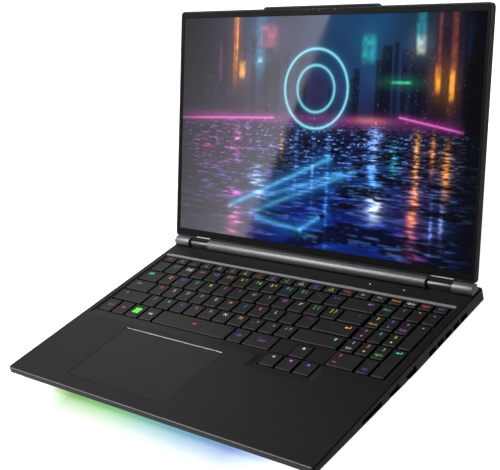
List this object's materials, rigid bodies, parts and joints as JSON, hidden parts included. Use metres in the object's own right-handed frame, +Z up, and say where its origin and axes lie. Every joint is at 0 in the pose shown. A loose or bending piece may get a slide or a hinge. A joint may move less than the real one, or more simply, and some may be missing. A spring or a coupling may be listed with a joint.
{
  "type": "laptop computer",
  "caption": "Open gaming laptop: hinged screen lid, charcoal deck with full-size keyboard, number pad, touchpad, side ports, side vents and a glow bar under its front edge.",
  "frame": {"origin": "on the surface the feet stand on, at the middle of the open laptop's bounding box", "axes": "+X to the user's right, +Y from the front edge towards the hinge, +Z up"},
  "size_m": [0.355, 0.3354, 0.2355],
  "materials": {
    "case": "matte charcoal anodised, fine bead-blasted grain",
    "cover": "matte black paint",
    "key": "soft matte black",
    "silver": "brushed bright silver",
    "barrel": "satin gunmetal",
    "glass": "glossy screen",
    "bezel": "black, semi gloss",
    "light": "frosted, lit green to blue",
    "steel": "bare steel",
    "plastic": "black",
    "board": "green circuit board",
    "copper": "bare copper",
    "rubber": "matte black"
  },
  "bodies": {
    "base": {"top_case": "case", "bottom_cover": "cover", "keyboard_plate": "plastic", "accent_strip": "silver", "light_bar": "light", "foot_rear": "rubber", "foot_front_left": "rubber", "foot_front_right": "rubber", "hinge_knuckle_left": "case", "hinge_knuckle_right": "case", "card_reader": "steel", "usb_a_port_front": "steel", "usb_a_port_rear": "steel", "dc_jack": "steel", "hdmi_port": "steel", "usb_c_port": "steel", "audio_jack": "plastic", "motherboard": "board", "memory_module": "board", "storage_drive": "board", "heat_pipes": "copper", "battery_pack": "plastic", "speaker_left": "plastic", "speaker_right": "plastic", "fan_housing_left": "plastic", "fan_housing_right": "plastic", "fin_stack_left": "copper", "fin_stack_right": "copper"},
    "lid": {"lid_cover": "case", "display_bezel": "bezel", "display_panel": "glass", "camera_module": "board", "hinge_barrel_left": "barrel", "hinge_barrel_centre": "barrel", "hinge_barrel_right": "barrel", "hinge_pin_left": "steel", "hinge_pin_right": "steel"},
    "fan_rotor_left": {"fan_rotor_left": "plastic"},
    "fan_rotor_right": {"fan_rotor_right": "plastic"},
    "touchpad": {"touchpad": "case"},
    "power_button": {"power_button": "case"},
    "keys_function_row": {"keys_function_row": "key"},
    "keys_number_row": {"keys_number_row": "key"},
    "keys_upper_row": {"keys_upper_row": "key"},
    "keys_home_row": {"keys_home_row": "key"},
    "keys_lower_row": {"keys_lower_row": "key"},
    "keys_modifiers_left": {"keys_modifiers_left": "key"},
    "keys_modifiers_right": {"keys_modifiers_right": "key"},
    "keys_number_pad": {"keys_number_pad": "key"},
    "key_backspace": {"key_backspace": "key"},
    "key_enter": {"key_enter": "key"},
    "key_shift_right": {"key_shift_right": "key"},
    "key_space": {"key_space": "key"},
    "key_arrow_left": {"key_arrow_left": "key"},
    "key_arrow_down": {"key_arrow_down": "key"},
    "key_arrow_right": {"key_arrow_right": "key"},
    "key_arrow_up": {"key_arrow_up": "key"},
    "key_pad_zero": {"key_pad_zero": "key"},
    "key_pad_enter": {"key_pad_enter": "key"},
    "key_pad_plus": {"key_pad_plus": "key"}
  },
  "joints": [
    {"name": "lid_hinge", "type": "hinge", "parent": "base", "child": "lid", "pos_m": [0, 0.06826, 0.017], "axis": [1, 0, 0], "range_deg": [-26, 114]},
    {"name": "fan_left_spin", "type": "hinge", "parent": "base", "child": "fan_rotor_left", "pos_m": [-0.132, 0.01726, 0.0064], "axis": [0, 0, 1], "continuous": true},
    {"name": "fan_right_spin", "type": "hinge", "parent": "base", "child": "fan_rotor_right", "pos_m": [0.132, 0.01726, 0.0064], "axis": [0, 0, 1], "continuous": true},
    {"name": "touchpad_click", "type": "hinge", "parent": "base", "child": "touchpad", "pos_m": [0, -0.07834, 0.0125], "axis": [1, 0, 0], "range_deg": [0, 0.35], "stiffness_Nm_per_rad": 18, "springref_deg": -0.29},
    {"name": "power_press", "type": "slide", "parent": "base", "child": "power_button", "axis": [0, 0, -1], "range_m": [0, 0.0004], "stiffness_N_per_m": 2500, "springref_m": -0.0004},
    {"name": "keys_function_row_press", "type": "slide", "parent": "base", "child": "keys_function_row", "axis": [0, 0, -1], "range_m": [0, 0.0014], "stiffness_N_per_m": 900, "springref_m": -0.0007},
    {"name": "keys_number_row_press", "type": "slide", "parent": "base", "child": "keys_number_row", "axis": [0, 0, -1], "range_m": [0, 0.0014], "stiffness_N_per_m": 900, "springref_m": -0.0007},
    {"name": "keys_upper_row_press", "type": "slide", "parent": "base", "child": "keys_upper_row", "axis": [0, 0, -1], "range_m": [0, 0.0014], "stiffness_N_per_m": 900, "springref_m": -0.0007},
    {"name": "keys_home_row_press", "type": "slide", "parent": "base", "child": "keys_home_row", "axis": [0, 0, -1], "range_m": [0, 0.0014], "stiffness_N_per_m": 900, "springref_m": -0.0007},
    {"name": "keys_lower_row_press", "type": "slide", "parent": "base", "child": "keys_lower_row", "axis": [0, 0, -1], "range_m": [0, 0.0014], "stiffness_N_per_m": 900, "springref_m": -0.0007},
    {"name": "keys_modifiers_left_press", "type": "slide", "parent": "base", "child": "keys_modifiers_left", "axis": [0, 0, -1], "range_m": [0, 0.0014], "stiffness_N_per_m": 900, "springref_m": -0.0007},
    {"name": "keys_modifiers_right_press", "type": "slide", "parent": "base", "child": "keys_modifiers_right", "axis": [0, 0, -1], "range_m": [0, 0.0014], "stiffness_N_per_m": 900, "springref_m": -0.0007},
    {"name": "keys_number_pad_press", "type": "slide", "parent": "base", "child": "keys_number_pad", "axis": [0, 0, -1], "range_m": [0, 0.0014], "stiffness_N_per_m": 900, "springref_m": -0.0007},
    {"name": "key_backspace_press", "type": "slide", "parent": "base", "child": "key_backspace", "axis": [0, 0, -1], "range_m": [0, 0.0014], "stiffness_N_per_m": 300, "springref_m": -0.0007},
    {"name": "key_enter_press", "type": "slide", "parent": "base", "child": "key_enter", "axis": [0, 0, -1], "range_m": [0, 0.0014], "stiffness_N_per_m": 300, "springref_m": -0.0007},
    {"name": "key_shift_right_press", "type": "slide", "parent": "base", "child": "key_shift_right", "axis": [0, 0, -1], "range_m": [0, 0.0014], "stiffness_N_per_m": 300, "springref_m": -0.0007},
    {"name": "key_space_press", "type": "slide", "parent": "base", "child": "key_space", "axis": [0, 0, -1], "range_m": [0, 0.0014], "stiffness_N_per_m": 300, "springref_m": -0.0007},
    {"name": "key_arrow_left_press", "type": "slide", "parent": "base", "child": "key_arrow_left", "axis": [0, 0, -1], "range_m": [0, 0.0014], "stiffness_N_per_m": 300, "springref_m": -0.0007},
    {"name": "key_arrow_down_press", "type": "slide", "parent": "base", "child": "key_arrow_down", "axis": [0, 0, -1], "range_m": [0, 0.0014], "stiffness_N_per_m": 300, "springref_m": -0.0007},
    {"name": "key_arrow_right_press", "type": "slide", "parent": "base", "child": "key_arrow_right", "axis": [0, 0, -1], "range_m": [0, 0.0014], "stiffness_N_per_m": 300, "springref_m": -0.0007},
    {"name": "key_arrow_up_press", "type": "slide", "parent": "base", "child": "key_arrow_up", "axis": [0, 0, -1], "range_m": [0, 0.0014], "stiffness_N_per_m": 300, "springref_m": -0.0007},
    {"name": "key_pad_zero_press", "type": "slide", "parent": "base", "child": "key_pad_zero", "axis": [0, 0, -1], "range_m": [0, 0.0014], "stiffness_N_per_m": 300, "springref_m": -0.0007},
    {"name": "key_pad_enter_press", "type": "slide", "parent": "base", "child": "key_pad_enter", "axis": [0, 0, -1], "range_m": [0, 0.0014], "stiffness_N_per_m": 300, "springref_m": -0.0007},
    {"name": "key_pad_plus_press", "type": "slide", "parent": "base", "child": "key_pad_plus", "axis": [0, 0, -1], "range_m": [0, 0.0014], "stiffness_N_per_m": 300, "springref_m": -0.0007}
  ]
}
